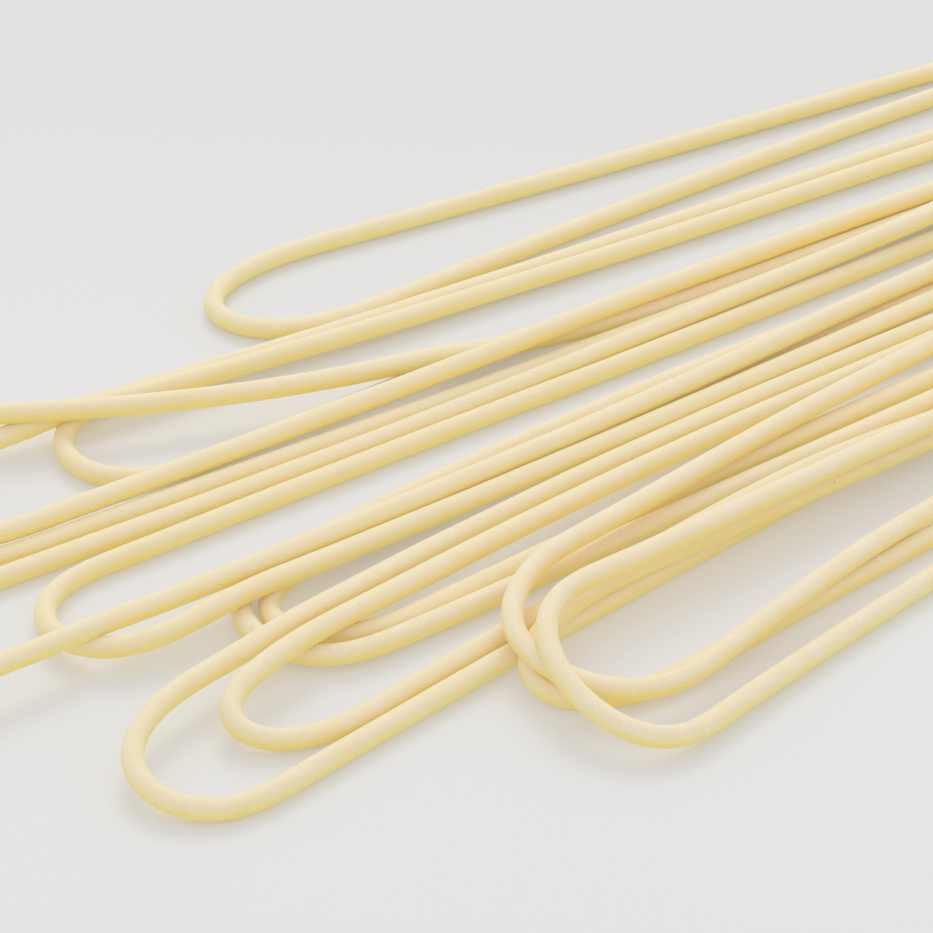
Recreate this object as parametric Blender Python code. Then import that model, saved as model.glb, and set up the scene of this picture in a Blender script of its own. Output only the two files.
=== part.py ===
"""Bundle of dry, rod-hung spaghetti: long strands folded in two, lying loosely over one another."""
from dataclasses import dataclass

import bmesh
import bpy
import numpy as np

# Driving dimensions, in millimetres and degrees unless a name says otherwise.
MM = 0.001
DIAMETER = 2.1
RADIUS = DIAMETER / 2
CLEARANCE = 0.36
FOLDED_LENGTH = 250.0
SPACING = 3.0
SIDES = 8
RING_TOLERANCE = 0.045
DENSITY_G_PER_CM3 = 1.45
PASTA_COLOUR = (0.84, 0.70, 0.42, 1.0)
ROUGHNESS = 0.72

# How the strands are eased apart until none overlaps its neighbours.
ROUNDS = 14
STEPS = 26
SAG_PER_STEP = 0.01
EARLY_STIFFNESS = 0.2
LATE_STIFFNESS = 0.03
STIFFNESS_WINDOW = 9
BEND_POINTS_LEFT_OUT = 6


@dataclass(frozen=True)
class Strand:
    """One folded strand: where its bend lies and how its far and near arms run."""

    name: str
    tip: tuple
    heading: float
    width: float
    depth: float
    lean: tuple
    sweep: tuple
    far_rise: tuple
    near_rise: tuple
    reach: tuple = (75.0, 75.0)


# tip: outermost point of the bend; width: arm to arm; depth: length of the bend;
# lean: angle each arm leaves the bend at, fading over its reach; sweep: drift at the cut end;
# rise: height of the strand's axis at the bend, its middle pull, and its height at the cut end.
STRANDS = (
    Strand("strand_01", tip=(-4.0, 36.5), heading=-8.0, width=15.0, depth=15.5,
           lean=(-0.5, 8.5), sweep=(0.5, 8.0), far_rise=(1.0, 1.5, 1.0),
           near_rise=(1.0, 2.0, 1.0), reach=(75.0, 75.0)),
    Strand("strand_02", tip=(-31.0, 23.0), heading=-4.0, width=15.5, depth=9.0,
           lean=(-4.0, 0.0), sweep=(-3.0, 3.0), far_rise=(1.0, 1.0, 1.0),
           near_rise=(1.0, 1.0, 1.0), reach=(60.0, 75.0)),
    Strand("strand_03", tip=(-52.0, 23.0), heading=-5.5, width=17.0, depth=9.0,
           lean=(-1.0, -0.5), sweep=(-2.5, 12.0), far_rise=(3.0, 3.5, 1.0),
           near_rise=(2.5, 1.0, 2.0), reach=(85.0, 70.0)),
    Strand("strand_04", tip=(-52.5, 25.5), heading=-3.0, width=20.0, depth=10.0,
           lean=(-26.0, 0.0), sweep=(0.0, -4.0), far_rise=(5.5, -2.0, 1.0),
           near_rise=(3.5, 2.5, 2.0), reach=(50.0, 70.0)),
    Strand("strand_05", tip=(-74.0, 4.0), heading=0.0, width=16.0, depth=11.0,
           lean=(-5.0, -2.0), sweep=(2.5, 1.0), far_rise=(1.0, 4.5, 2.0),
           near_rise=(5.0, 1.5, 1.5), reach=(120.0, 50.0)),
    Strand("strand_06", tip=(-47.5, 0.5), heading=-3.0, width=14.5, depth=7.5,
           lean=(1.0, 4.5), sweep=(3.0, 3.0), far_rise=(1.0, 2.0, 1.0),
           near_rise=(3.0, 4.0, 2.0), reach=(80.0, 55.0)),
    Strand("strand_07", tip=(-33.0, -10.2), heading=-3.5, width=16.0, depth=7.0,
           lean=(6.5, 2.5), sweep=(-4.5, 2.0), far_rise=(1.0, 1.0, 1.0),
           near_rise=(2.5, 1.0, 1.0), reach=(45.0, 75.0)),
    Strand("strand_08", tip=(-30.5, -10.7), heading=-5.0, width=14.0, depth=12.5,
           lean=(7.5, 7.0), sweep=(0.0, 5.0), far_rise=(1.0, 2.5, 1.0),
           near_rise=(2.0, 1.0, 1.0), reach=(40.0, 60.0)),
    Strand("strand_09", tip=(-53.5, -22.5), heading=-4.5, width=14.5, depth=9.0,
           lean=(14.0, 9.5), sweep=(-4.0, 1.5), far_rise=(4.0, 2.5, 1.0),
           near_rise=(1.0, 1.0, 1.0), reach=(60.0, 100.0)),
    Strand("strand_10", tip=(-43.0, -21.0), heading=-4.0, width=10.0, depth=12.0,
           lean=(11.5, 8.5), sweep=(0.0, 0.0), far_rise=(4.5, 3.0, 1.5),
           near_rise=(1.0, 1.5, 2.0), reach=(55.0, 45.0)),
    Strand("strand_11", tip=(-17.0, -31.0), heading=-2.0, width=20.5, depth=11.0,
           lean=(10.5, 11.0), sweep=(4.0, 4.0), far_rise=(5.5, 2.0, 2.5),
           near_rise=(3.0, 1.5, 3.5), reach=(55.0, 60.0)),
    Strand("strand_12", tip=(-18.0, -32.0), heading=-3.0, width=12.5, depth=14.5,
           lean=(4.0, 7.0), sweep=(3.0, 0.0), far_rise=(5.0, 2.5, 1.0),
           near_rise=(1.0, 2.0, 1.0), reach=(30.0, 70.0)),
    Strand("strand_13", tip=(-17.5, -37.0), heading=-3.5, width=18.5, depth=7.0,
           lean=(5.5, 11.5), sweep=(-4.5, 3.5), far_rise=(7.5, 4.5, 1.0),
           near_rise=(3.0, 1.0, 1.5), reach=(70.0, 60.0)),
)


def arm_side(start, lean, sweep, reach, along, run):
    """Sideways place of an arm: it leaves the bend at its lean, straightens out, then drifts."""
    straightened = reach * np.tanh(along / reach)
    return start + np.tan(np.radians(lean)) * straightened + sweep * (along / run) ** 2


def arm_height(rise, share):
    """Height of an arm's axis, a parabola through the bend, the middle pull and the cut end."""
    bend, middle, end = rise
    return bend * (1 - share) ** 2 + 2 * middle * share * (1 - share) + end * share ** 2


def evenly(line, spacing):
    """The same line with its points an equal distance apart."""
    steps = np.linalg.norm(np.diff(line, axis=0), axis=1)
    gone = np.concatenate([[0.0], np.cumsum(steps)])
    at = np.linspace(0.0, gone[-1], int(np.ceil(gone[-1] / spacing)) + 1)
    return np.stack([np.interp(at, gone, line[:, axis]) for axis in range(3)], 1)


def strand_line(strand, spacing):
    """Axis of a strand, from the far cut end round the bend to the near cut end.

    The bend is half an ellipse whose two sides lean as the arms do, so that it meets them smoothly.
    """
    run = FOLDED_LENGTH - strand.depth
    along = run * np.linspace(0.0, 1.0, 60) ** 1.25
    share = along / run
    half = strand.width / 2
    turn = np.linspace(0.0, np.pi, 25)[1:-1]
    slopes = np.tan(np.radians(strand.lean))
    slope = np.where(np.cos(turn) > 0, slopes[0], -slopes[1])
    far = arm_side(half, strand.lean[0], strand.sweep[0], strand.reach[0], along, run)
    near = arm_side(-half, strand.lean[1], strand.sweep[1], strand.reach[1], along, run)
    x = np.concatenate([(strand.depth + along)[::-1], strand.depth * (1 - np.sin(turn)),
                        strand.depth + along])
    round_bend = np.cos(turn) * (half - slope * strand.depth * np.sin(turn))
    y = np.concatenate([far[::-1], round_bend, near])
    blend = (1 + np.cos(turn)) / 2
    bend = blend * strand.far_rise[0] + (1 - blend) * strand.near_rise[0]
    z = np.concatenate([arm_height(strand.far_rise, share)[::-1], bend,
                        arm_height(strand.near_rise, share)])
    cos, sin = np.cos(np.radians(strand.heading)), np.sin(np.radians(strand.heading))
    place = np.stack([strand.tip[0] + cos * x - sin * y, strand.tip[1] + sin * x + cos * y, z], 1)
    return evenly(place, spacing)


def close_pairs(points, owner, place, middle, last, reach):
    """Pairs of a point and a following segment that are near enough to touch."""
    square = np.einsum("ij,ij->i", points, points)
    apart = square[:, None] + square[None, :] - 2 * points @ points.T
    other = owner[:, None] != owner[None, :]
    facing = ((place[:, None] < middle[:, None] - BEND_POINTS_LEFT_OUT)
              & (place[None, :] > middle[None, :] + BEND_POINTS_LEFT_OUT))
    return np.nonzero((apart < reach ** 2) & (other | facing) & ~last[None, :])


def stiffen(move, bounds, share):
    """Spread each strand's movement along its length, so that it bends only gently."""
    half = STIFFNESS_WINDOW // 2
    for start, stop in bounds:
        part = move[start:stop]
        padded = np.concatenate([np.repeat(part[:1], half, 0), part, np.repeat(part[-1:], half, 0)])
        total = np.cumsum(np.concatenate([np.zeros((1, 3)), padded]), 0)
        mean = (total[STIFFNESS_WINDOW:] - total[:-STIFFNESS_WINDOW]) / STIFFNESS_WINDOW
        move[start:stop] = (1 - share) * part + share * mean
    return move


def bed_down(lines, clear):
    """Ease the strands apart until every two axes are at least `clear` from each other."""
    rest = np.concatenate(lines)
    points = rest.copy()
    sizes = [len(line) for line in lines]
    edges = np.cumsum([0] + sizes)
    bounds = list(zip(edges[:-1], edges[1:]))
    owner = np.repeat(np.arange(len(lines)), sizes)
    place = np.concatenate([np.arange(size) for size in sizes])
    middle = np.repeat(np.array(sizes) // 2, sizes)
    last = place == np.repeat(np.array(sizes) - 1, sizes)
    for turn in range(ROUNDS):
        first, second = close_pairs(points, owner, place, middle, last, clear + SPACING + 1.0)
        late = turn >= ROUNDS * 0.7
        for _ in range(STEPS):
            segment = points[second + 1] - points[second]
            reach = points[first] - points[second]
            t = np.einsum("ij,ij->i", reach, segment) / np.einsum("ij,ij->i", segment, segment)
            t = np.clip(t, 0.0, 1.0)
            gap = reach - segment * t[:, None]
            far = np.sqrt(np.einsum("ij,ij->i", gap, gap))
            hit = far < clear
            i, j, t = first[hit], second[hit], t[hit]
            half = gap[hit] * ((clear - far[hit]) / 2 / np.maximum(far[hit], 1e-6))[:, None]
            who = np.concatenate([i, j, j + 1])
            weight = np.concatenate([np.ones(len(i)), 1 - t, t])
            push = np.concatenate([half, -half * (1 - t)[:, None], -half * t[:, None]])
            count = np.maximum(np.bincount(who, weight, len(points)), 1.0)
            total = [np.bincount(who, push[:, axis], len(points)) for axis in range(3)]
            points = points + 1.3 * np.stack(total, 1) / count[:, None]
            if not late:
                points[:, 2] -= SAG_PER_STEP
            share = LATE_STIFFNESS if late else EARLY_STIFFNESS
            points = rest + stiffen(points - rest, bounds, share)
            points[:, 2] = np.maximum(points[:, 2], RADIUS)
    return [points[start:stop] for start, stop in bounds]


def ring_places(line, tolerance):
    """Few enough points of a line that the rest lie within the tolerance of its chords."""
    keep = {0, len(line) - 1}
    spans = [(0, len(line) - 1)]
    while spans:
        start, stop = spans.pop()
        if stop - start < 2:
            continue
        chord = line[stop] - line[start]
        inner = line[start + 1:stop] - line[start]
        t = np.clip(inner @ chord / (chord @ chord), 0.0, 1.0)
        off = np.linalg.norm(inner - t[:, None] * chord, axis=1)
        worst = int(off.argmax())
        if off[worst] > tolerance:
            middle = start + 1 + worst
            keep.add(middle)
            spans.extend([(start, middle), (middle, stop)])
    return np.array(sorted(keep))


def tube_points(line):
    """Rings of points round a line, carried along it without twisting."""
    ahead = np.gradient(line, axis=0)
    ahead /= np.linalg.norm(ahead, axis=1)[:, None]
    side = np.cross(ahead[0], (0.0, 0.0, 1.0))
    side /= np.linalg.norm(side)
    around = np.linspace(0.0, 2 * np.pi, SIDES, endpoint=False) + np.pi / SIDES
    rings = []
    for point, direction in zip(line, ahead):
        side = side - direction * (side @ direction)
        side /= np.linalg.norm(side)
        up = np.cross(side, direction)
        rings.append(point + RADIUS * (np.cos(around)[:, None] * side + np.sin(around)[:, None] * up))
    return np.array(rings)


def make_tube(name, rings, material):
    """Closed faceted tube with flat cut ends, shaded smooth along its length."""
    mesh = bpy.data.meshes.new(name)
    shape = bmesh.new()
    rows = [[shape.verts.new(tuple(corner * MM)) for corner in ring] for ring in rings]
    for before, after in zip(rows[:-1], rows[1:]):
        for k in range(SIDES):
            n = (k + 1) % SIDES
            face = shape.faces.new((before[k], before[n], after[n], after[k]))
            face.smooth = True
    shape.faces.new(rows[0])
    shape.faces.new(rows[-1][::-1])
    bmesh.ops.recalc_face_normals(shape, faces=shape.faces[:])
    shape.to_mesh(mesh)
    shape.free()
    mesh.materials.append(material)
    tube = bpy.data.objects.new(name, mesh)
    bpy.context.scene.collection.objects.link(tube)
    return tube


def pasta_material(name):
    """Matt, floury durum wheat."""
    material = bpy.data.materials.new(name)
    material.use_nodes = True
    shader = material.node_tree.nodes["Principled BSDF"]
    shader.inputs["Base Color"].default_value = PASTA_COLOUR
    shader.inputs["Roughness"].default_value = ROUGHNESS
    shader.inputs["Metallic"].default_value = 0.0
    return material


def main():
    """Clear the scene, lay the strands and make one tube for each."""
    for item in list(bpy.data.objects):
        bpy.data.objects.remove(item, do_unlink=True)
    lines = bed_down([strand_line(strand, SPACING) for strand in STRANDS], DIAMETER + CLEARANCE)
    tubes = [tube_points(line[ring_places(line, RING_TOLERANCE)]) for line in lines]
    corners = np.concatenate([rings.reshape(-1, 3) for rings in tubes])
    low, high = corners.min(0), corners.max(0)
    origin = np.array([(low[0] + high[0]) / 2, (low[1] + high[1]) / 2, low[2]])
    for strand, rings in zip(STRANDS, tubes):
        make_tube(strand.name, rings - origin, pasta_material("pasta_" + strand.name))


main()
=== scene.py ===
"""Dressed model of a loose bundle of dry, rod-hung spaghetti on a pale table."""

import logging
from dataclasses import dataclass
from enum import Enum

import bpy
import numpy as np
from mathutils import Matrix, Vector


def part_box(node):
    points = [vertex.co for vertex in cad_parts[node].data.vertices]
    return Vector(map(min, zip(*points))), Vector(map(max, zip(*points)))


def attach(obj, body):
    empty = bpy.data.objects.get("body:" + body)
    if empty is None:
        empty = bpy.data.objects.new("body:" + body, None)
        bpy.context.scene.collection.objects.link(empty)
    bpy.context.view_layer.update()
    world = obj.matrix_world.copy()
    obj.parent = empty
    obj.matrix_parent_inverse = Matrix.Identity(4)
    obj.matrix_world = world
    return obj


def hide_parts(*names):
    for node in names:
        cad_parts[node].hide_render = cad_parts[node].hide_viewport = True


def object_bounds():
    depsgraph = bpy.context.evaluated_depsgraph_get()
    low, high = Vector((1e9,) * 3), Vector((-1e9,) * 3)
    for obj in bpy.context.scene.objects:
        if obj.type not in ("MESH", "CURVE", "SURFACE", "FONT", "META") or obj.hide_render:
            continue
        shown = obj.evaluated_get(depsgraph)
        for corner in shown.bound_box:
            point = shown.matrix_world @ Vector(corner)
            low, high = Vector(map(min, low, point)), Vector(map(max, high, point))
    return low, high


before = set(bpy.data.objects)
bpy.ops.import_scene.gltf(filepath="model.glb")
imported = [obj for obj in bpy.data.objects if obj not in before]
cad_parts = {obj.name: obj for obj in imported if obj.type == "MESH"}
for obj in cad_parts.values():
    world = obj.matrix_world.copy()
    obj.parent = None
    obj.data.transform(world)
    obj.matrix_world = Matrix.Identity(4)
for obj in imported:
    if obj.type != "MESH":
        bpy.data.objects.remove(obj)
CAD_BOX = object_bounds()

LOG = logging.getLogger("spaghetti")

MM = 0.001
BODY = "root"
FIRST_SEED = 700
STRAIGHT_GAP = 1000.0
TINY = 1e-6

Pair = tuple[float, float]
Triple = tuple[float, float, float]
Colour = tuple[float, float, float, float]

WHITE: Colour = (1.0, 1.0, 1.0, 1.0)
EVEN: Triple = (1.0, 1.0, 1.0)


class Arm(Enum):
    """The two arms of a folded strand, the far one and the near one."""

    FAR = 0
    NEAR = 1


class Flour(Enum):
    """How much pale dust the drying has left on a strand."""

    DUSTY = 0.62
    PLAIN = 0.45
    BARE = 0.30


@dataclass(frozen=True)
class Strand:
    """One folded strand: where its bend lies and how its two arms run, in millimetres and degrees.

    tip is the outermost point of the bend, width the distance from arm to arm and depth the length
    of the bend. lean is the angle at which each arm leaves the bend, fading over its reach, and
    sweep its drift at the cut end. A rise is the height of the axis at the bend, the middle pull
    and the cut end.
    """

    name: str
    tip: Pair
    heading: float
    width: float
    depth: float
    lean: Pair
    sweep: Pair
    far_rise: Triple
    near_rise: Triple
    reach: Pair
    flour: Flour = Flour.PLAIN


STRANDS: tuple[Strand, ...] = (
    Strand("strand_01", tip=(-4.0, 36.5), heading=-8.0, width=15.0, depth=15.5,
           lean=(-0.5, 8.5), sweep=(0.5, 8.0), far_rise=(1.0, 1.5, 1.0),
           near_rise=(1.0, 2.0, 1.0), reach=(75.0, 75.0)),
    Strand("strand_02", tip=(-31.0, 23.0), heading=-4.0, width=15.5, depth=9.0,
           lean=(-4.0, 0.0), sweep=(-3.0, 3.0), far_rise=(1.0, 1.0, 1.0),
           near_rise=(1.0, 1.0, 1.0), reach=(60.0, 75.0)),
    Strand("strand_03", tip=(-52.0, 23.0), heading=-5.5, width=17.0, depth=9.0,
           lean=(-1.0, -0.5), sweep=(-2.5, 12.0), far_rise=(3.0, 3.5, 1.0),
           near_rise=(2.5, 1.0, 2.0), reach=(85.0, 70.0), flour=Flour.BARE),
    Strand("strand_04", tip=(-52.5, 25.5), heading=-3.0, width=20.0, depth=10.0,
           lean=(-26.0, 0.0), sweep=(0.0, -4.0), far_rise=(5.5, -2.0, 1.0),
           near_rise=(3.5, 2.5, 2.0), reach=(50.0, 70.0)),
    Strand("strand_05", tip=(-74.0, 4.0), heading=0.0, width=16.0, depth=11.0,
           lean=(-5.0, -2.0), sweep=(2.5, 1.0), far_rise=(1.0, 4.5, 2.0),
           near_rise=(5.0, 1.5, 1.5), reach=(120.0, 50.0)),
    Strand("strand_06", tip=(-47.5, 0.5), heading=-3.0, width=14.5, depth=7.5,
           lean=(1.0, 4.5), sweep=(3.0, 3.0), far_rise=(1.0, 2.0, 1.0),
           near_rise=(3.0, 4.0, 2.0), reach=(80.0, 55.0), flour=Flour.BARE),
    Strand("strand_07", tip=(-33.0, -10.2), heading=-3.5, width=16.0, depth=7.0,
           lean=(6.5, 2.5), sweep=(-4.5, 2.0), far_rise=(1.0, 1.0, 1.0),
           near_rise=(2.5, 1.0, 1.0), reach=(45.0, 75.0), flour=Flour.DUSTY),
    Strand("strand_08", tip=(-30.5, -10.7), heading=-5.0, width=14.0, depth=12.5,
           lean=(7.5, 7.0), sweep=(0.0, 5.0), far_rise=(1.0, 2.5, 1.0),
           near_rise=(2.0, 1.0, 1.0), reach=(40.0, 60.0), flour=Flour.BARE),
    Strand("strand_09", tip=(-53.5, -22.5), heading=-4.5, width=14.5, depth=9.0,
           lean=(14.0, 9.5), sweep=(-4.0, 1.5), far_rise=(4.0, 2.5, 1.0),
           near_rise=(1.0, 1.0, 1.0), reach=(60.0, 100.0)),
    Strand("strand_10", tip=(-43.0, -21.0), heading=-4.0, width=10.0, depth=12.0,
           lean=(11.5, 8.5), sweep=(0.0, 0.0), far_rise=(4.5, 3.0, 1.5),
           near_rise=(1.0, 1.5, 2.0), reach=(55.0, 45.0)),
    Strand("strand_11", tip=(-17.0, -31.0), heading=-2.0, width=20.5, depth=11.0,
           lean=(10.5, 11.0), sweep=(4.0, 4.0), far_rise=(5.5, 2.0, 2.5),
           near_rise=(3.0, 1.5, 3.5), reach=(55.0, 60.0), flour=Flour.DUSTY),
    Strand("strand_12", tip=(-18.0, -32.0), heading=-3.0, width=12.5, depth=14.5,
           lean=(4.0, 7.0), sweep=(3.0, 0.0), far_rise=(5.0, 2.5, 1.0),
           near_rise=(1.0, 2.0, 1.0), reach=(30.0, 70.0), flour=Flour.BARE),
    Strand("strand_13", tip=(-17.5, -37.0), heading=-3.5, width=18.5, depth=7.0,
           lean=(5.5, 11.5), sweep=(-4.5, 3.5), far_rise=(7.5, 4.5, 1.0),
           near_rise=(3.0, 1.0, 1.5), reach=(70.0, 60.0), flour=Flour.DUSTY),
)


@dataclass(frozen=True)
class Bedding:
    """How the strands are laid, eased apart and smoothed.

    diameter, clearance, folded_length, spacing, reach_margin and sag are in millimetres. An arm
    is drawn through arm_points, which arm_crowding gathers near the bend. The easing takes a
    number of rounds of so many steps. After a share of late_from of the rounds the strands sag no
    more and are less stiff, so that the last overlaps go. push_gain multiplies each push, and
    window is the number of points over which a strand's stiffness spreads it. The points within
    bend_points_left_out of a strand's middle may come near its own other arm.
    """

    diameter: float = 2.1
    clearance: float = 0.12
    folded_length: float = 250.0
    spacing: float = 3.0
    arm_points: int = 60
    arm_crowding: float = 1.25
    bend_points: int = 25
    rounds: int = 14
    steps: int = 26
    late_from: float = 0.7
    push_gain: float = 1.3
    reach_margin: float = 1.0
    sag: float = 0.01
    early_stiffness: float = 0.2
    late_stiffness: float = 0.03
    window: int = 9
    bend_points_left_out: int = 6
    smoothing_passes: int = 2

    def arm_side(self, strand: Strand, arm: Arm, along: np.ndarray) -> np.ndarray:
        """Sideways place of an arm.

        It starts half the width from the middle, leaves along the tangent of its lean, which a
        hyperbolic tangent fades out over the reach, and drifts by the sweep times the square of
        the share of the run.

        Args:
            strand: The strand's row.
            arm: Which of its arms.
            along: Distances along the arm from the end of the bend.

        Returns:
            The sideways place at each distance.
        """
        side = 1 - 2 * arm.value
        reach = strand.reach[arm.value]
        straightened = reach * np.tanh(along / reach)
        drift = strand.sweep[arm.value] * (along / (self.folded_length - strand.depth)) ** 2
        slope = np.tan(np.radians(strand.lean[arm.value]))
        return side * strand.width / 2 + slope * straightened + drift

    @staticmethod
    def arm_height(rise: Triple, share: np.ndarray) -> np.ndarray:
        """Height of an arm: a parabola drawn by its height at the bend, middle pull and cut end."""
        bend, middle, end = rise
        return bend * (1 - share) ** 2 + 2 * middle * share * (1 - share) + end * share ** 2

    @staticmethod
    def evenly(line: np.ndarray, spacing: float) -> np.ndarray:
        """The same line with its points an equal distance apart.

        Args:
            line: Points of the line, one row each.
            spacing: The largest distance from one point to the next.

        Returns:
            The new points, from the same start to the same end.
        """
        steps = np.linalg.norm(np.diff(line, axis=0), axis=1)
        gone = np.concatenate([[0.0], np.cumsum(steps)])
        at = np.linspace(0.0, gone[-1], int(np.ceil(gone[-1] / spacing)) + 1)
        return np.stack([np.interp(at, gone, line[:, axis]) for axis in range(3)], 1)

    def strand_line(self, strand: Strand) -> np.ndarray:
        """Axis of a strand, from the far cut end round its bend to the near cut end.

        The bend is half an ellipse, as deep as the strand's depth and as wide as its width, whose
        two sides lean as the arms do. The joins are smoothed, and what that draws the bend in by is
        given back.

        Args:
            strand: The strand's row.

        Returns:
            Points of the axis, one row each.
        """
        run = self.folded_length - strand.depth
        along = run * np.linspace(0.0, 1.0, self.arm_points) ** self.arm_crowding
        share = along / run
        turn = np.linspace(0.0, np.pi, self.bend_points)[1:-1]
        slopes = np.tan(np.radians(strand.lean))
        slope = np.where(np.cos(turn) > 0, slopes[0], -slopes[1])
        round_bend = np.cos(turn) * (strand.width / 2 - slope * strand.depth * np.sin(turn))
        far = self.arm_side(strand, Arm.FAR, along)
        near = self.arm_side(strand, Arm.NEAR, along)
        x = np.concatenate([(strand.depth + along)[::-1], strand.depth * (1 - np.sin(turn)),
                            strand.depth + along])
        y = np.concatenate([far[::-1], round_bend, near])
        blend = (1 + np.cos(turn)) / 2
        bend = blend * strand.far_rise[0] + (1 - blend) * strand.near_rise[0]
        z = np.concatenate([self.arm_height(strand.far_rise, share)[::-1], bend,
                            self.arm_height(strand.near_rise, share)])
        cos, sin = np.cos(np.radians(strand.heading)), np.sin(np.radians(strand.heading))
        place = np.stack([strand.tip[0] + cos * x - sin * y, strand.tip[1] + sin * x + cos * y, z], 1)
        even = self.evenly(place, self.spacing)
        once = self.smooth(even)
        return 2 * once - self.smooth(once)

    def close_pairs(self, points: np.ndarray, owner: np.ndarray, place: np.ndarray,
                    middle: np.ndarray, last: np.ndarray) -> tuple[np.ndarray, np.ndarray]:
        """Pairs of a point and a segment that are near enough to touch.

        A segment runs from the point that it is named after to the next one.

        Args:
            points: All the strands' points.
            owner: Which strand each point belongs to.
            place: Each point's count from its strand's start.
            middle: The count of the middle point of each point's strand.
            last: Whether a point ends its strand, so that no segment follows it.

        Returns:
            The points and the segments, as two lists of equal length.
        """
        reach = self.diameter + self.clearance + self.spacing + self.reach_margin
        square = np.einsum("ij,ij->i", points, points)
        apart = square[:, None] + square[None, :] - 2 * points @ points.T
        other = owner[:, None] != owner[None, :]
        facing = ((place[:, None] < middle[:, None] - self.bend_points_left_out)
                  & (place[None, :] > middle[None, :] + self.bend_points_left_out))
        return np.nonzero((apart < reach ** 2) & (other | facing) & ~last[None, :])

    def stiffen(self, move: np.ndarray, bounds: list[tuple[int, int]], share: float) -> np.ndarray:
        """Spread each strand's movement along its length, so that it bends only gently.

        Each point's movement is drawn towards the mean of the window of points round it.

        Args:
            move: How far each point has moved, one row each.
            bounds: The first row of each strand and the row after its last.
            share: How much of the mean is taken, from 0 to 1.

        Returns:
            The spread movements.
        """
        half = self.window // 2
        for start, stop in bounds:
            part = move[start:stop]
            padded = np.concatenate([np.repeat(part[:1], half, 0), part,
                                     np.repeat(part[-1:], half, 0)])
            total = np.cumsum(np.concatenate([np.zeros((1, 3)), padded]), 0)
            mean = (total[self.window:] - total[:-self.window]) / self.window
            move[start:stop] = (1 - share) * part + share * mean
        return move

    def smooth(self, move: np.ndarray) -> np.ndarray:
        """Weigh each row one, two, one with its neighbours, a few times over.

        Args:
            move: Points or movements in a row.

        Returns:
            The smoothed rows, with the first and the last as they were.
        """
        for _ in range(self.smoothing_passes):
            inner = (move[:-2] + 2 * move[1:-1] + move[2:]) / 4
            move = np.concatenate([move[:1], inner, move[-1:]])
        return move

    def settle(self, strands: tuple[Strand, ...]) -> list[np.ndarray]:
        """Lay the strands, ease them apart and smooth what has moved.

        Every point nearer to another strand's segment than the diameter and the clearance moves
        half the missing distance away from it, and the segment's ends move the other half. The
        strands sag a little at each step, stiffen along their length and rest on the table. The
        smoothing takes some of the easing back where it is sharpest, so at a few crossings the
        strands run into one another by some tenths of a millimetre.

        Args:
            strands: The rows of all the strands.

        Returns:
            One line of points for each strand, in millimetres.
        """
        radius = self.diameter / 2
        clear = self.diameter + self.clearance
        lines = [self.strand_line(strand) for strand in strands]
        rest = np.concatenate(lines)
        points = rest.copy()
        sizes = [len(line) for line in lines]
        edges = np.cumsum([0] + sizes)
        bounds = list(zip(edges[:-1], edges[1:]))
        owner = np.repeat(np.arange(len(lines)), sizes)
        place = np.concatenate([np.arange(size) for size in sizes])
        middle = np.repeat(np.array(sizes) // 2, sizes)
        last = place == np.repeat(np.array(sizes) - 1, sizes)
        for turn in range(self.rounds):
            first, second = self.close_pairs(points, owner, place, middle, last)
            late = turn >= self.rounds * self.late_from
            stiffness = self.late_stiffness if late else self.early_stiffness
            for _ in range(self.steps):
                segment = points[second + 1] - points[second]
                reach = points[first] - points[second]
                along = (np.einsum("ij,ij->i", reach, segment)
                         / np.einsum("ij,ij->i", segment, segment))
                along = np.clip(along, 0.0, 1.0)
                gap = reach - segment * along[:, None]
                far = np.sqrt(np.einsum("ij,ij->i", gap, gap))
                hit = far < clear
                one, other, along = first[hit], second[hit], along[hit]
                half = gap[hit] * ((clear - far[hit]) / 2 / np.maximum(far[hit], TINY))[:, None]
                pushed = np.concatenate([one, other, other + 1])
                weight = np.concatenate([np.ones(len(one)), 1 - along, along])
                push = np.concatenate([half, -half * (1 - along)[:, None],
                                       -half * along[:, None]])
                count = np.maximum(np.bincount(pushed, weight, len(points)), 1.0)
                total = [np.bincount(pushed, push[:, axis], len(points)) for axis in range(3)]
                points = points + self.push_gain * np.stack(total, 1) / count[:, None]
                if not late:
                    points[:, 2] -= self.sag
                points = rest + self.stiffen(points - rest, bounds, stiffness)
                points[:, 2] = np.maximum(points[:, 2], radius)
        return [rest[start:stop] + self.smooth(points[start:stop] - rest[start:stop])
                for start, stop in bounds]


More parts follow.
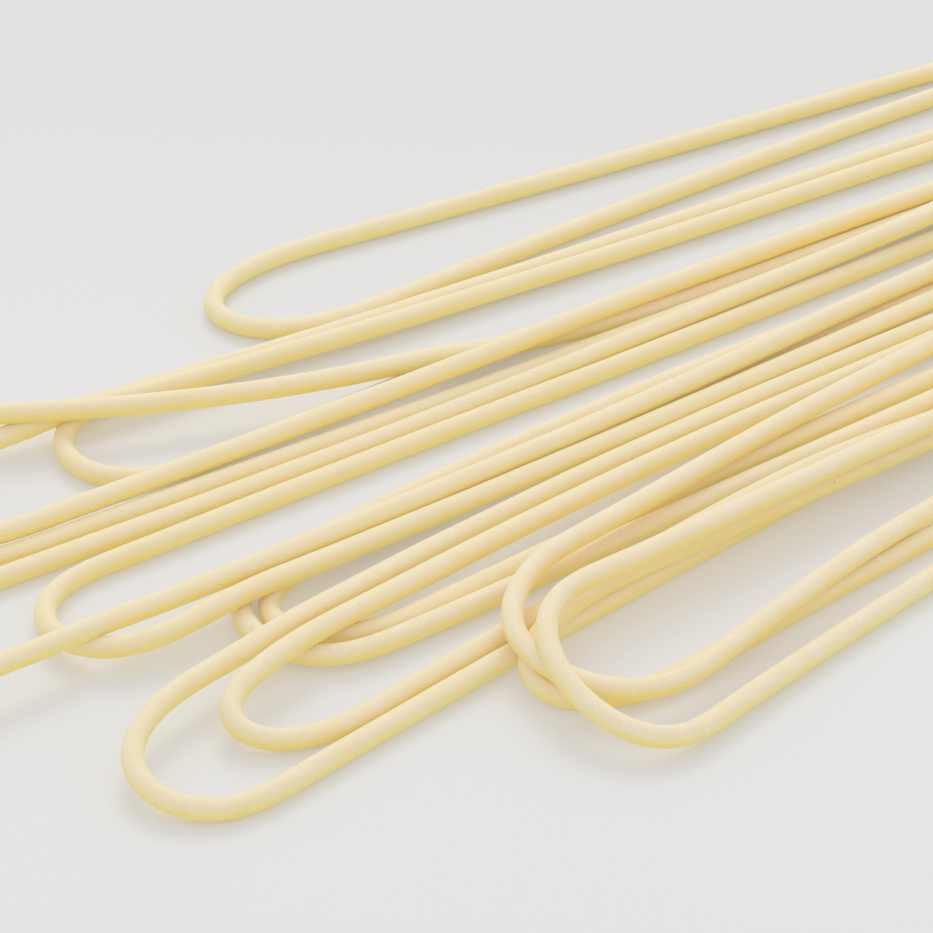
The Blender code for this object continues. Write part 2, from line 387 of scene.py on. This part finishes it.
@dataclass(frozen=True)
class StrandShape:
    """Sizes of the fine tube that stands for a strand, in millimetres.

    slow_waves and short_waves each give the size of the waves as a share of the radius, their
    shortest and longest length and how many there are, and most_lobes is how often a wave may
    repeat round the strand. bend_flat is the share of the radius that the rod takes off in the
    bend, full where the bend is as tight as bend_radius and faded over bend_window rings.
    cut_rings are the radii of the rings on a cut face as shares of the strand's own. The
    outermost is drawn in by the share worn_edge of the radius, the edge round the face is drawn
    back by end_bevel, and end_relief is how rough the face is.
    """

    radius: float = 1.05
    around: int = 32
    ring_gap: float = 0.75
    slow_waves: tuple[float, float, float, int] = (0.014, 14.0, 70.0, 9)
    short_waves: tuple[float, float, float, int] = (0.0045, 1.8, 6.0, 14)
    most_lobes: int = 3
    bend_flat: float = 0.07
    bend_radius: float = 8.0
    bend_window: int = 15
    cut_rings: tuple[float, ...] = (0.06, 0.35, 0.68, 0.90)
    worn_edge: float = 0.02
    end_bevel: float = 0.10
    end_relief: float = 0.05

    def axis(self, line: np.ndarray) -> tuple[np.ndarray, np.ndarray]:
        """A smooth curve through the line's points.

        Each span is a Catmull-Rom cubic: it passes through its two points and its slope at each
        is half the step between that point's neighbours.

        Args:
            line: Points an equal distance apart.

        Returns:
            The curve's points and the distance of each from the start.
        """
        padded = np.concatenate([2 * line[:1] - line[1:2], line, 2 * line[-1:] - line[-2:-1]])
        length = np.linalg.norm(np.diff(line, axis=0), axis=1).sum()
        count = int(round(length / self.ring_gap))
        at = np.linspace(0.0, len(line) - 1.0, count + 1)
        span = np.minimum(at.astype(int), len(line) - 2)
        part = (at - span)[:, None]
        before, start, stop, after = (padded[span + offset] for offset in range(4))
        curve = 0.5 * (2 * start + (stop - before) * part
                       + (2 * before - 5 * start + 4 * stop - after) * part ** 2
                       + (3 * start - before - 3 * stop + after) * part ** 3)
        steps = np.linalg.norm(np.diff(curve, axis=0), axis=1)
        return curve, np.concatenate([[0.0], np.cumsum(steps)])

    @staticmethod
    def frames(curve: np.ndarray) -> tuple[np.ndarray, np.ndarray, np.ndarray]:
        """Directions ahead, to the side and upwards at each point of a curve that never stands up.

        The side is the direction ahead crossed with the vertical, and up is the side crossed with
        the direction ahead.

        Args:
            curve: Points of the curve, one row each.

        Returns:
            The three directions at each point, as unit vectors.
        """
        ahead = np.gradient(curve, axis=0)
        ahead /= np.linalg.norm(ahead, axis=1)[:, None]
        side = np.cross(ahead, (0.0, 0.0, 1.0))
        side /= np.linalg.norm(side, axis=1)[:, None]
        return ahead, side, np.cross(side, ahead)

    def relief(self, gone: np.ndarray, angle: np.ndarray, curl: np.ndarray,
               random: np.random.Generator) -> np.ndarray:
        """Radius over the tube's grid.

        The plain radius is swollen by slow waves along the strand, some of them lobed, and by
        short ripples, all with random phases. Round the bend the side that hung on the rod is
        pressed a little flat, in step with the curve's tightness.

        Args:
            gone: Distance along the strand of each ring.
            angle: Angle round the strand of each column.
            curl: Tightness of the bend at each ring, from 0 to 1.
            random: Source of the phases.

        Returns:
            One radius for each ring and column.
        """
        share = np.zeros((len(gone), len(angle)))
        for size, shortest, longest, waves in (self.slow_waves, self.short_waves):
            length = random.uniform(shortest, longest, waves)[:, None, None]
            lobes = random.integers(0, self.most_lobes + 1, waves)[:, None, None]
            phase = random.uniform(0.0, 2 * np.pi, (2, waves))[..., None, None]
            share += size * np.sqrt(2 / waves) * (
                np.sin(2 * np.pi * gone[None, :, None] / length + phase[0])
                * np.cos(lobes * angle[None, None, :] + phase[1])).sum(0)
        pressed = np.clip(-np.cos(angle), 0.0, 1.0) ** 2
        share -= self.bend_flat * curl[:, None] * pressed[None, :]
        return self.radius * (1 + share)

    def grid(self, line: np.ndarray, random: np.random.Generator) -> tuple[np.ndarray, np.ndarray]:
        """Points of the tube, ring by ring, and the same points on a straightened strand.

        A ring is the axis point plus the radius times the cosine of the angle to the side and its
        sine upwards. The smaller rings at each end make the cut face with its worn edge.

        Args:
            line: The strand's axis, in millimetres.
            random: Source of its unevenness.

        Returns:
            Tube points and straightened points, both rings by columns by three.
        """
        curve, gone = self.axis(line)
        ahead, side, up = self.frames(curve)
        angle = np.linspace(0.0, 2 * np.pi, self.around, endpoint=False)
        turning = np.linalg.norm(np.gradient(ahead, gone, axis=0), axis=1)
        curl = np.clip(turning * self.bend_radius, 0.0, 1.0)
        kernel = np.hanning(self.bend_window)
        curl = np.convolve(curl, kernel / kernel.sum(), mode="same")
        radii = self.relief(gone, angle, curl, random)
        shrink = np.array(self.cut_rings)
        extra = len(shrink)
        start = self.cut(shrink, len(angle), random)
        stop = self.cut(shrink, len(angle), random)
        ring = np.concatenate([np.zeros(extra, int), np.arange(len(gone)),
                               np.full(extra, len(gone) - 1)])
        factor = np.concatenate([shrink, np.ones(len(gone)), shrink[::-1]])
        offset = np.zeros((len(ring), len(angle)))
        offset[:extra] = start
        offset[-extra:] = -stop[::-1]
        offset[extra] += self.end_bevel
        offset[-extra - 1] -= self.end_bevel
        reach = radii[ring] * factor[:, None]
        across = reach * np.cos(angle)[None, :]
        above = reach * np.sin(angle)[None, :]
        tube = (curve[ring][:, None, :] + across[..., None] * side[ring][:, None, :]
                + above[..., None] * up[ring][:, None, :]
                + offset[..., None] * ahead[ring][:, None, :])
        straight = np.stack([gone[ring][:, None] + offset, across, above], -1)
        return tube, straight

    def cut(self, shrink: np.ndarray, columns: int, random: np.random.Generator) -> np.ndarray:
        """Height of the cut face's rings: small and random, fading towards the middle.

        Args:
            shrink: Radii of the rings as shares of the strand's own.
            columns: How many points each ring has.
            random: Source of the unevenness.

        Returns:
            One height for each ring and column.
        """
        rough = random.normal(0.0, self.end_relief, (len(shrink), columns))
        rough = (rough + np.roll(rough, 1, 1) + np.roll(rough, -1, 1)) / 3
        height = rough * shrink[:, None]
        height[-1] += self.worn_edge * self.radius
        return height


class StrandPiece:
    """One strand as a closed fine mesh with its straightened coordinates.

    Those start STRAIGHT_GAP millimetres further along for each strand, so that no two strands
    share their patterns.
    """

    def __init__(self, name: str, shape: StrandShape, order: int) -> None:
        """Keep what the piece is made from and seed its own source of unevenness.

        Args:
            name: What the piece is called.
            shape: Its sizes.
            order: Its place in the order of making, from 1.
        """
        self.name = name
        self.shape = shape
        self.order = order
        self.random = np.random.default_rng(FIRST_SEED + order)

    @staticmethod
    def faces(rings: int, columns: int) -> tuple[np.ndarray, np.ndarray]:
        """Corner numbers of the quads between rings and of the triangles that close the two poles.

        Seen from outside, the corners of every face run against the clock, so it points outwards.

        Args:
            rings: How many rings the tube has.
            columns: How many points each ring has.

        Returns:
            The quads and the triangles. The two poles are numbered after the last ring's points.
        """
        here = np.arange(columns)
        beside = (here + 1) % columns
        ring = np.arange(rings - 1)[:, None] * columns
        quads = np.stack([ring + here, ring + columns + here, ring + columns + beside,
                          ring + beside], -1).reshape(-1, 4)
        first, last = rings * columns, rings * columns + 1
        top = (rings - 1) * columns
        fans = np.concatenate([np.stack([np.full(columns, first), here, beside], -1),
                               np.stack([np.full(columns, last), top + beside, top + here], -1)])
        return quads, fans

    def build(self, line: np.ndarray, shift: np.ndarray, finish: bpy.types.Material) -> bpy.types.Object:
        """Make the strand's object.

        Args:
            line: Its axis, in millimetres.
            shift: What is added to bring it into the frame, in millimetres.
            finish: Its material.

        Returns:
            The new object, at the origin with its place in its mesh.
        """
        tube, straight = self.shape.grid(line, self.random)
        rings, columns = tube.shape[:2]
        poles = np.stack([tube[0].mean(0), tube[-1].mean(0)])
        points = (np.concatenate([tube.reshape(-1, 3), poles]) + shift) * MM
        flat = np.concatenate([straight.reshape(-1, 3), straight[0].mean(0)[None],
                               straight[-1].mean(0)[None]])
        flat[:, 0] += STRAIGHT_GAP * self.order
        quads, fans = self.faces(rings, columns)
        mesh = bpy.data.meshes.new(self.name)
        mesh.vertices.add(len(points))
        mesh.vertices.foreach_set("co", points.astype(np.float32).ravel())
        corners = np.concatenate([quads.ravel(), fans.ravel()]).astype(np.int32)
        sizes = np.concatenate([np.full(len(quads), 4), np.full(len(fans), 3)])
        starts = np.concatenate([[0], np.cumsum(sizes)[:-1]]).astype(np.int32)
        mesh.loops.add(len(corners))
        mesh.loops.foreach_set("vertex_index", corners)
        mesh.polygons.add(len(sizes))
        mesh.polygons.foreach_set("loop_start", starts)
        mesh.update(calc_edges=True)
        mesh.validate()
        mesh.shade_smooth()
        grain = mesh.attributes.new("grain", "FLOAT_VECTOR", "POINT")
        grain.data.foreach_set("vector", flat.astype(np.float32).ravel())
        mesh.materials.append(finish)
        piece = bpy.data.objects.new(self.name, mesh)
        bpy.context.scene.collection.objects.link(piece)
        return piece


@dataclass(frozen=True)
class Mottle:
    """Soft noise over a surface, smoothly mapped from a floor to one.

    stretch multiplies the coordinates, scale is in waves for each of their units, and the noise
    values low and high are where the floor ends and where one begins.
    """

    stretch: Triple
    scale: float
    detail: float
    low: float
    high: float
    roughness: float = 0.5
    floor: float = 0.0


class Nodes:
    """Short ways to lay a material's nodes."""

    def __init__(self, material: bpy.types.Material) -> None:
        """Start on an empty node tree.

        Args:
            material: The material whose nodes are laid.
        """
        material.use_nodes = True
        self.tree = material.node_tree
        self.tree.nodes.clear()

    def add(self, kind: str, **settings: object) -> bpy.types.Node:
        """Add a node and set its named properties.

        Args:
            kind: The node's type.
            settings: Its properties by name.

        Returns:
            The new node.
        """
        node = self.tree.nodes.new(kind)
        for key, value in settings.items():
            setattr(node, key, value)
        return node

    def put(self, target: bpy.types.NodeSocket, value: object) -> None:
        """Link an output to an input, or set the input's own value.

        Args:
            target: The input.
            value: Another node's output, or a plain value.
        """
        if isinstance(value, bpy.types.NodeSocket):
            self.tree.links.new(value, target)
        else:
            target.default_value = value

    def math(self, operation: str, *values: object, clamp: bool = False) -> bpy.types.NodeSocket:
        """Result of a Math node on the given values.

        Args:
            operation: What the node does with them.
            values: Outputs or numbers, in the order of the node's inputs.
            clamp: Whether the result is kept between 0 and 1.

        Returns:
            The node's output.
        """
        node = self.add("ShaderNodeMath", operation=operation, use_clamp=clamp)
        for socket, value in zip(node.inputs, values):
            self.put(socket, value)
        return node.outputs[0]

    def scaled(self, vector: bpy.types.NodeSocket, factor: Triple) -> bpy.types.NodeSocket:
        """The vector stretched along its axes.

        Args:
            vector: Output with the vector.
            factor: What each of its parts is multiplied by.

        Returns:
            Output with the stretched vector.
        """
        node = self.add("ShaderNodeVectorMath", operation="MULTIPLY")
        self.put(node.inputs[0], vector)
        self.put(node.inputs[1], factor)
        return node.outputs[0]

    def noise(self, vector: bpy.types.NodeSocket, scale: float, detail: float,
              roughness: float) -> bpy.types.NodeSocket:
        """Grey noise over the vector.

        Args:
            vector: Output with the coordinates.
            scale: Waves for each unit of the coordinates.
            detail: How many finer layers are added.
            roughness: How strong each finer layer is beside the one before it.

        Returns:
            Output with the noise, from 0 to 1.
        """
        node = self.add("ShaderNodeTexNoise")
        self.put(node.inputs["Vector"], vector)
        self.put(node.inputs["Scale"], scale)
        self.put(node.inputs["Detail"], detail)
        self.put(node.inputs["Roughness"], roughness)
        return node.outputs["Fac"]

    def cells(self, vector: bpy.types.NodeSocket, scale: float) -> bpy.types.Node:
        """A Voronoi texture over the vector.

        Args:
            vector: Output with the coordinates.
            scale: Cells for each unit of the coordinates.

        Returns:
            The texture's node, whose outputs give each cell's colour and the distance to its core.
        """
        node = self.add("ShaderNodeTexVoronoi", feature="F1")
        self.put(node.inputs["Vector"], vector)
        self.put(node.inputs["Scale"], scale)
        return node

    def ramp(self, value: bpy.types.NodeSocket, low: float, high: float,
             start: float, stop: float) -> bpy.types.NodeSocket:
        """The value from low to high mapped smoothly to start to stop.

        Args:
            value: Output with the value.
            low: Value at which the result is start.
            high: Value at which the result is stop.
            start: Result at low and under it.
            stop: Result at high and over it.

        Returns:
            The mapped output.
        """
        node = self.add("ShaderNodeMapRange", interpolation_type="SMOOTHSTEP")
        for key, item in (("Value", value), ("From Min", low), ("From Max", high),
                          ("To Min", start), ("To Max", stop)):
            self.put(node.inputs[key], item)
        return node.outputs[0]

    def mottle(self, vector: bpy.types.NodeSocket, mottle: Mottle) -> bpy.types.NodeSocket:
        """A mottle over the vector.

        Args:
            vector: Output with the coordinates.
            mottle: What the mottle is like.

        Returns:
            The mottle's output, from its floor to 1.
        """
        drawn = self.scaled(vector, mottle.stretch)
        noise = self.noise(drawn, mottle.scale, mottle.detail, mottle.roughness)
        return self.ramp(noise, mottle.low, mottle.high, mottle.floor, 1.0)

    def mix(self, factor: object, first: object, second: object) -> bpy.types.NodeSocket:
        """Colour between the first and the second, which are a Mix node's inputs 6 and 7.

        Args:
            factor: Share of the second, an output or a number from 0 to 1.
            first: Output or colour at 0.
            second: Output or colour at 1.

        Returns:
            Output with the mixed colour.
        """
        node = self.add("ShaderNodeMix", data_type="RGBA")
        self.put(node.inputs[0], factor)
        self.put(node.inputs[6], first)
        self.put(node.inputs[7], second)
        return node.outputs[2]


@dataclass(frozen=True)
class Speck:
    """A kind of scattered dot: cells per millimetre, share of cells left bare and size in mm.

    A dot begins to fade at the share core of its size and is gone at the share rim.
    """

    cells: float
    bare: float
    size: float
    colour: Colour
    core: float = 0.7
    rim: float = 1.5


@dataclass(frozen=True)
class PastaFinish:
    """Matt dried durum wheat: creamy yellow, pale on top from dust and painted highlight, grainy, with a
    few bran specks.

    The body goes from butter to cream, patch_share of it in slow patches and the rest in
    lengthwise streaks. top_dust_and_highlight is an even pale layer over the upper side of every strand,
    whatever the flour: partly dust and partly a painted highlight where the soft box's light
    falls on the tops. fine_dust times broad_dust is where the real dust lies, scaled by the flour.
    side_height and crown_height are the heights over the strand's axis, in millimetres, between
    which the pale layer comes on, from side_dust_and_highlight to one, so both the dust and the painted
    highlight are kept to the upper side. glow is the share of light that passes through the
    surface layer, as deep as glow_depth metres. grit_scale is in grains for each millimetre and
    grit_height in millimetres.
    """

    butter: Colour = (0.97, 0.735, 0.13, 1.0)
    cream: Colour = (0.97, 0.77, 0.19, 1.0)
    patches: Mottle = Mottle((0.35, 0.8, 0.8), 0.45, 2.0, 0.32, 0.68)
    streaks: Mottle = Mottle((0.12, 3.2, 3.2), 1.0, 1.0, 0.3, 0.7)
    patch_share: float = 0.65
    # Pale colour of both the real dust and the painted highlight on the strands' tops.
    dust: Colour = (0.98, 0.805, 0.655, 1.0)
    fine_dust: Mottle = Mottle((0.9, 1.3, 1.3), 3.2, 3.0, 0.36, 0.66, roughness=0.62)
    broad_dust: Mottle = Mottle(EVEN, 0.6, 1.0, 0.3, 0.72, floor=0.35)
    semolina: Colour = (0.93, 0.58, 0.12, 1.0)
    meal: Mottle = Mottle(EVEN, 5.5, 2.0, 0.52, 0.70, roughness=0.7)
    semolina_strength: float = 0.30
    bran: Speck = Speck(0.42, 0.955, 0.085, (0.42, 0.20, 0.07, 1.0))
    husk: Speck = Speck(1.1, 0.93, 0.12, (0.90, 0.70, 0.36, 1.0))
    # top_dust_and_highlight to side_dust_and_highlight: the pale upper side, partly dust and partly
    # painted highlight.
    top_dust_and_highlight: float = 0.5
    side_height: float = -0.45
    crown_height: float = 0.85
    side_dust_and_highlight: float = 0.06
    roughness: float = 0.63
    glow: float = 0.4
    glow_depth: float = 0.0012
    glow_tint: Triple = (1.0, 0.9, 0.5)
    shine: float = 0.35
    fuzz: float = 0.12
    fuzz_roughness: float = 0.6
    fuzz_tint: Colour = (1.0, 0.97, 0.90, 1.0)
    grit_scale: float = 2.6
    grit_detail: float = 3.0
    grit_roughness: float = 0.72
    grit_strength: float = 0.55
    grit_height: float = 0.1

    def material(self, flour: Flour) -> bpy.types.Material:
        """Make the material for strands with the given amount of dust.

        All patterns read the strand's straightened coordinates in millimetres, so they follow it
        round the bend.

        Args:
            flour: How dusty the strands are.

        Returns:
            The finished material.
        """
        made = bpy.data.materials.new(f"pasta_{flour.name.lower()}")
        nodes = Nodes(made)
        grain = nodes.add("ShaderNodeAttribute", attribute_name="grain").outputs["Vector"]
        colour = self.body_colour(nodes, grain, flour)
        for speck in (self.bran, self.husk):
            colour = nodes.mix(self.specks(nodes, grain, speck), colour, speck.colour)
        shader = nodes.add("ShaderNodeBsdfPrincipled")
        nodes.put(shader.inputs["Base Color"], colour)
        nodes.put(shader.inputs["Roughness"], self.roughness)
        nodes.put(shader.inputs["Subsurface Weight"], self.glow)
        nodes.put(shader.inputs["Subsurface Radius"], self.glow_tint)
        nodes.put(shader.inputs["Subsurface Scale"], self.glow_depth)
        nodes.put(shader.inputs["Specular IOR Level"], self.shine)
        nodes.put(shader.inputs["Sheen Weight"], self.fuzz)
        nodes.put(shader.inputs["Sheen Roughness"], self.fuzz_roughness)
        nodes.put(shader.inputs["Sheen Tint"], self.fuzz_tint)
        nodes.put(shader.inputs["Normal"], self.bump(nodes, grain))
        out = nodes.add("ShaderNodeOutputMaterial")
        nodes.put(out.inputs["Surface"], shader.outputs[0])
        return made

    def body_colour(self, nodes: Nodes, grain: bpy.types.NodeSocket,
                    flour: Flour) -> bpy.types.NodeSocket:
        """Butter to cream in slow patches and lengthwise streaks, with a pale upper side of soft dust
        and painted highlight, and coarse meal.

        Args:
            nodes: The material's nodes.
            grain: The strand's straightened coordinates.
            flour: How dusty the strand is.

        Returns:
            The colour before any specks.
        """
        patches = nodes.math("MULTIPLY", nodes.mottle(grain, self.patches), self.patch_share)
        streaks = nodes.math("MULTIPLY", nodes.mottle(grain, self.streaks), 1 - self.patch_share)
        colour = nodes.mix(nodes.math("ADD", patches, streaks), self.butter, self.cream)
        split = nodes.add("ShaderNodeSeparateXYZ")
        nodes.put(split.inputs[0], grain)
        # Painted highlight and dust: a pale layer over each strand's upper side, from
        # side_dust_and_highlight at side_height to full at crown_height over the axis.
        above = nodes.ramp(split.outputs["Z"], self.side_height, self.crown_height,
                           self.side_dust_and_highlight, 1.0)
        dusted = nodes.math("MULTIPLY", nodes.mottle(grain, self.fine_dust),
                            nodes.mottle(grain, self.broad_dust))
        dusted = nodes.math("MULTIPLY", dusted, flour.value)
        # top_dust_and_highlight lays the even pale top on every strand, partly dust and partly painted
        # highlight; the flour's mottled dust is real dust, also kept to the upper side.
        settled = nodes.math("ADD", nodes.math("MULTIPLY", above, self.top_dust_and_highlight), dusted, clamp=True)
        colour = nodes.mix(nodes.math("MULTIPLY", settled, above), colour, self.dust)
        meal = nodes.math("MULTIPLY", nodes.mottle(grain, self.meal), self.semolina_strength)
        return nodes.mix(meal, colour, self.semolina)

    @staticmethod
    def specks(nodes: Nodes, grain: bpy.types.NodeSocket, speck: Speck) -> bpy.types.NodeSocket:
        """Where the dots are: the cores of the few cells whose random number is high enough.

        Args:
            nodes: The material's nodes.
            grain: The strand's straightened coordinates.
            speck: The kind of dot.

        Returns:
            Output that is 1 on a dot and 0 between the dots.
        """
        cells = nodes.cells(grain, speck.cells)
        split = nodes.add("ShaderNodeSeparateColor")
        nodes.put(split.inputs[0], cells.outputs["Color"])
        chosen = nodes.math("GREATER_THAN", split.outputs[0], speck.bare)
        size = speck.size * speck.cells
        dot = nodes.ramp(cells.outputs["Distance"], size * speck.core, size * speck.rim, 1.0, 0.0)
        return nodes.math("MULTIPLY", chosen, dot)

    def bump(self, nodes: Nodes, grain: bpy.types.NodeSocket) -> bpy.types.NodeSocket:
        """Normal of a floury skin: fine grit and lumps.

        Args:
            nodes: The material's nodes.
            grain: The strand's straightened coordinates.

        Returns:
            Output with the normal.
        """
        grit = nodes.noise(grain, self.grit_scale, self.grit_detail, self.grit_roughness)
        node = nodes.add("ShaderNodeBump")
        nodes.put(node.inputs["Strength"], self.grit_strength)
        nodes.put(node.inputs["Distance"], self.grit_height * MM)
        nodes.put(node.inputs["Height"], grit)
        return node.outputs[0]


class Bundle:
    """All the strands, laid, bedded down and dressed."""

    def __init__(self, strands: tuple[Strand, ...], bedding: Bedding, shape: StrandShape,
                 finish: PastaFinish) -> None:
        """Keep what the bundle is made of.

        Args:
            strands: The rows of all the strands.
            bedding: How they are laid.
            shape: The sizes of their tubes.
            finish: What they are made of.
        """
        self.strands = strands
        self.bedding = bedding
        self.shape = shape
        self.finish = finish

    def shift(self, lines: list[np.ndarray]) -> np.ndarray:
        """What brings the strands into the frame: box centres on one another, lowest side on zero.

        Args:
            lines: The settled axes of the strands.

        Returns:
            What is added to a point of an axis, in millimetres.
        """
        points = np.concatenate(lines)
        low, high = points.min(0), points.max(0)
        middle = (np.array(CAD_BOX[0]) + np.array(CAD_BOX[1])) / 2 / MM
        return np.array([middle[0] - (low[0] + high[0]) / 2, middle[1] - (low[1] + high[1]) / 2,
                         CAD_BOX[0][2] / MM - (low[2] - self.shape.radius)])

    def build(self) -> tuple[list[bpy.types.Object], np.ndarray]:
        """Make every strand and tie it to the frame.

        Returns:
            The pieces and the shift that was added to their places, in millimetres.
        """
        lines = self.bedding.settle(self.strands)
        shift = self.shift(lines)
        finishes = {flour: self.finish.material(flour) for flour in Flour}
        pieces = []
        for order, (strand, line) in enumerate(zip(self.strands, lines), 1):
            piece = StrandPiece(f"pasta_{order:02d}", self.shape, order)
            made = piece.build(line, shift, finishes[strand.flour])
            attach(made, BODY)
            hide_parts(strand.name)
            LOG.info("%s stands for %s, %d faces, %.1f mm off the solid", made.name, strand.name,
                     len(made.data.polygons), self.offset(made, strand.name))
            pieces.append(made)
        return pieces, shift

    @staticmethod
    def offset(piece: bpy.types.Object, node: str) -> float:
        """Largest distance between the piece's box and its solid's, in millimetres.

        Args:
            piece: The dressed strand.
            node: Name of the solid that it stands for.

        Returns:
            The distance on the side where the two boxes differ most.
        """
        count = len(piece.data.vertices)
        points = np.empty(count * 3, np.float32)
        piece.data.vertices.foreach_get("co", points)
        points = points.reshape(-1, 3)
        low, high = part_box(node)
        gaps = np.abs(np.concatenate([points.min(0) - np.array(low), points.max(0) - np.array(high)]))
        return float(gaps.max() / MM)


@dataclass(frozen=True)
class TableFinish:
    """Matt white paper with a painted glow: it gives off a little light of its own, more in front than
    behind, which lightens the shade round the strands and the front of the table.

    glow is the strength of this painted light in front and behind, each reached painted_glow_reach
    millimetres from the middle. shade is what the colour is multiplied by in the darker clouds of
    the paper.
    """

    colour: Colour = (0.66, 0.66, 0.66, 1.0)
    shade: float = 0.985
    clouds: Mottle = Mottle(EVEN, 9.0, 3.0, 0.3, 0.7)
    roughness: float = 0.8
    shine: float = 0.2
    glow: Pair = (0.145, 0.06)
    painted_glow_reach: float = 80.0

    def material(self, azimuth: float) -> bpy.types.Material:
        """Make the material of a table whose front side faces the given azimuth.

        Args:
            azimuth: The front side's azimuth, in degrees.

        Returns:
            The finished material.
        """
        made = bpy.data.materials.new("table_paper_painted_glow")
        nodes = Nodes(made)
        place = nodes.add("ShaderNodeTexCoord").outputs["Object"]
        cloud = nodes.mottle(place, self.clouds)
        dark = tuple(self.shade * part for part in self.colour[:3]) + (1.0,)
        shader = nodes.add("ShaderNodeBsdfPrincipled")
        nodes.put(shader.inputs["Base Color"], nodes.mix(cloud, dark, self.colour))
        nodes.put(shader.inputs["Roughness"], self.roughness)
        nodes.put(shader.inputs["Specular IOR Level"], self.shine)
        front = np.radians(azimuth)
        away = nodes.add("ShaderNodeVectorMath", operation="DOT_PRODUCT")
        nodes.put(away.inputs[0], place)
        nodes.put(away.inputs[1], (-np.sin(front), np.cos(front), 0.0))
        # Painted light: the paper glows, stronger in front than behind, lifting the shade under and
        # between the strands.
        reach = self.painted_glow_reach * MM
        nodes.put(shader.inputs["Emission Color"], WHITE)
        nodes.put(shader.inputs["Emission Strength"],
                  nodes.ramp(away.outputs["Value"], -reach, reach, *self.glow))
        out = nodes.add("ShaderNodeOutputMaterial")
        nodes.put(out.inputs["Surface"], shader.outputs[0])
        made.cycles.emission_sampling = "NONE"
        return made


@dataclass(frozen=True)
class Studio:
    """The pale table, the soft light and the camera, in millimetres, degrees and watts.

    azimuth, pitch and distance place the camera, and the soft box stands behind the strands.
    The camera sees what lies between nearest and farthest.
    """

    paper: TableFinish = TableFinish()
    table_size: float = 6000.0
    sky: float = 0.695
    azimuth: float = -38.0
    pitch: float = 34.0
    distance: float = 343.1
    lens: float = 90.0
    sensor: float = 24.0
    nearest: float = 10.0
    farthest: float = 20000.0
    box_azimuth: float = 142.0
    box_elevation: float = 47.0
    box_distance: float = 1000.0
    box_size: float = 500.0
    box_power: float = 2.5
    box_colour: Triple = (1.0, 0.99, 0.97)
    display_gamma: float = 1.45
    diffuse_bounces: int = 6

    def table(self) -> bpy.types.Object:
        """Lay a plain flat sheet under the strands.

        Returns:
            The sheet's object.
        """
        half = self.table_size / 2 * MM
        mesh = bpy.data.meshes.new("table")
        level = CAD_BOX[0][2]
        mesh.from_pydata([(-half, -half, level), (half, -half, level), (half, half, level),
                          (-half, half, level)], [], [(0, 1, 2, 3)])
        mesh.materials.append(self.paper.material(self.azimuth))
        table = bpy.data.objects.new("table", mesh)
        bpy.context.scene.collection.objects.link(table)
        return table

    @staticmethod
    def backwards(azimuth: float, elevation: float) -> Vector:
        """Direction from the aim towards something that stands at the given angles."""
        turn, rise = np.radians(azimuth), np.radians(elevation)
        return Vector((np.sin(turn) * np.cos(rise), -np.cos(turn) * np.cos(rise), np.sin(rise)))

    def light(self, aim: np.ndarray) -> bpy.types.Object:
        """Set up a square soft box behind the strands that looks at the aim.

        Args:
            aim: The point of the table under the middle of the bundle, in millimetres.

        Returns:
            The light.
        """
        back = self.backwards(self.box_azimuth, self.box_elevation)
        data = bpy.data.lights.new("back_soft_box", "AREA")
        data.shape = "SQUARE"
        data.size = self.box_size * MM
        data.energy = self.box_power
        data.color = self.box_colour
        lamp = bpy.data.objects.new("back_soft_box", data)
        lamp.location = Vector(aim * MM) + back * (self.box_distance * MM)
        lamp.rotation_euler = (-back).to_track_quat("-Z", "Y").to_euler()
        bpy.context.scene.collection.objects.link(lamp)
        return lamp

    def camera(self, aim: np.ndarray) -> bpy.types.Object:
        """A long lens that looks down on the bends across the strands.

        Args:
            aim: The point of the table at the middle of the view, in millimetres.

        Returns:
            The camera, made the scene's own.
        """
        back = self.backwards(self.azimuth, self.pitch)
        data = bpy.data.cameras.new("camera")
        data.lens = self.lens
        data.sensor_width = self.sensor
        data.clip_start = self.nearest * MM
        data.clip_end = self.farthest * MM
        camera = bpy.data.objects.new("camera", data)
        camera.location = Vector(aim * MM) + back * (self.distance * MM)
        camera.rotation_euler = (-back).to_track_quat("-Z", "Y").to_euler()
        bpy.context.scene.collection.objects.link(camera)
        bpy.context.scene.camera = camera
        return camera

    def build(self, shift: np.ndarray) -> None:
        """Set the table, the soft box, the camera and the room's even light round the bundle.

        Args:
            shift: What was added to the strands' places, in millimetres.
        """
        aim = shift * np.array([1.0, 1.0, 0.0])
        self.table()
        self.light(aim)
        self.camera(aim)
        world = bpy.data.worlds.new("soft_room")
        world.use_nodes = True
        background = world.node_tree.nodes["Background"]
        background.inputs["Color"].default_value = WHITE
        background.inputs["Strength"].default_value = self.sky
        bpy.context.scene.world = world
        bpy.context.scene.view_settings.view_transform = "Standard"
        bpy.context.scene.view_settings.gamma = self.display_gamma
        bpy.context.scene.cycles.diffuse_bounces = self.diffuse_bounces
        LOG.info("table, lights and camera set")


def main() -> None:
    """Build the bundle, then the studio round it."""
    logging.basicConfig(level=logging.INFO, format="%(name)s: %(message)s")
    bundle = Bundle(STRANDS, Bedding(), StrandShape(), PastaFinish())
    pieces, shift = bundle.build()
    Studio().build(shift)
    LOG.info("%d strands", len(pieces))


if __name__ == "__main__":
    main()
